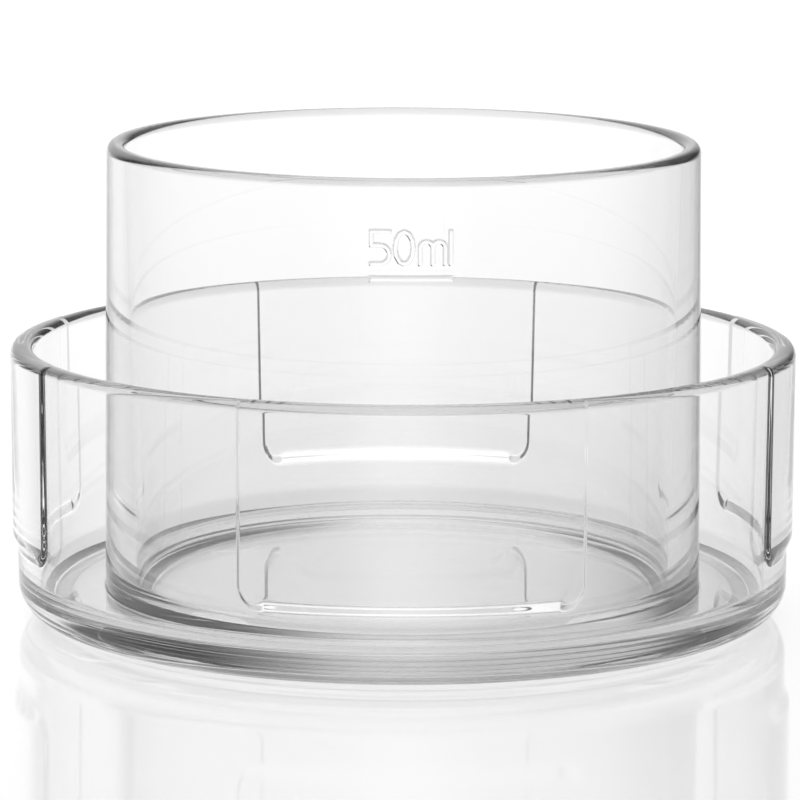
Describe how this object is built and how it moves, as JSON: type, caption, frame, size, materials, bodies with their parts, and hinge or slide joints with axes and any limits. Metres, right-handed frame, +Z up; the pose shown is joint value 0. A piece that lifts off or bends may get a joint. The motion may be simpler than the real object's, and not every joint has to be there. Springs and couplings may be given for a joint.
{
  "type": "lazy susan turntable",
  "caption": "Small clear turntable: a dish with raised finger grips turns on a thin base round a straight centre measuring cup that lifts out.",
  "frame": {"origin": "on the table, at the turning axis", "axes": "+Z up along the turning axis; -Y towards the front, where the cup's fill line is"},
  "size_m": [0.0664, 0.0664, 0.0403],
  "materials": {
    "clear_base": "polished clear moulding",
    "clear_dish": "polished clear moulding",
    "clear_cup": "polished clear moulding",
    "glide_plastic": "smooth translucent low-friction plastic",
    "clear_silicone": "clear soft silicone"
  },
  "bodies": {
    "base": {"base_disc": "clear_base", "glide_ring": "glide_plastic", "foot_pads": "clear_silicone"},
    "dish": {"grip_dish": "clear_dish"},
    "cup": {"measuring_cup": "clear_cup"}
  },
  "joints": [
    {"name": "dish_turn", "type": "hinge", "parent": "base", "child": "dish", "pos_m": [0, 0, 0.0014], "axis": [0, 0, 1], "continuous": true},
    {"name": "cup_lift", "type": "slide", "parent": "base", "child": "cup", "axis": [0, 0, 1], "range_m": [0, 0.03]}
  ]
}
